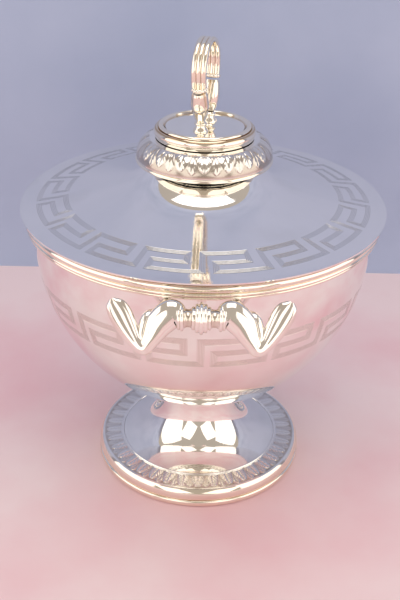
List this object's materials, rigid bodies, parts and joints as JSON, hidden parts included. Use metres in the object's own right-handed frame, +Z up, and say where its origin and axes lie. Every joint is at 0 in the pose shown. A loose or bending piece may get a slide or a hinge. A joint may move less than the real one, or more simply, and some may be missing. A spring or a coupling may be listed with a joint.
{
  "type": "sugar bowl",
  "caption": "Covered pedestal sugar bowl in polished silver with a lift-off domed lid, a loop finial, two bow handles and engraved key borders.",
  "frame": {"origin": "centre of the foot's underside, on the surface the bowl stands on", "axes": "+Z up through the bowl's axis, +X to the right seen from the front, the front handle faces -Y and the back handle +Y"},
  "size_m": [0.15, 0.1744, 0.192],
  "materials": {
    "plain_silver": "mirror-polished silver with fine handling scratches",
    "engraved_silver": "mirror-polished silver with a bright-cut Greek key filled with parallel lines",
    "rolled_border_silver": "polished silver with die-rolled leaf relief, slightly tarnished in the hollows",
    "moulding_silver": "polished silver mouldings with warm tarnish in the grooves",
    "cast_silver": "polished cast silver"
  },
  "bodies": {
    "bowl": {"foot_base_wire": "moulding_silver", "foot_band": "moulding_silver", "foot_leaf_ring": "rolled_border_silver", "foot_pedestal": "plain_silver", "stem_collar": "moulding_silver", "bowl_shell": "engraved_silver", "rim_reeds": "moulding_silver", "rim_wire": "moulding_silver", "front_grip": "cast_silver", "front_left_scroll": "cast_silver", "front_right_scroll": "cast_silver", "front_left_arm": "cast_silver", "front_right_arm": "cast_silver", "back_grip": "cast_silver", "back_left_scroll": "cast_silver", "back_right_scroll": "cast_silver", "back_left_arm": "cast_silver", "back_right_arm": "cast_silver"},
    "lid": {"lid_plate": "engraved_silver", "lid_bezel": "plain_silver", "lid_drum": "plain_silver", "leaf_gallery": "rolled_border_silver", "gallery_soffit": "plain_silver", "gallery_wire": "moulding_silver", "cap_moulding": "moulding_silver", "cap_plate": "plain_silver", "front_finial_foot": "moulding_silver", "front_husk": "moulding_silver", "front_calyx": "moulding_silver", "back_finial_foot": "moulding_silver", "back_husk": "moulding_silver", "back_calyx": "moulding_silver", "finial_strap": "moulding_silver"}
  },
  "joints": [
    {"name": "lid_lift", "type": "slide", "parent": "bowl", "child": "lid", "axis": [0, 0, 1], "range_m": [0, 0.08]}
  ]
}
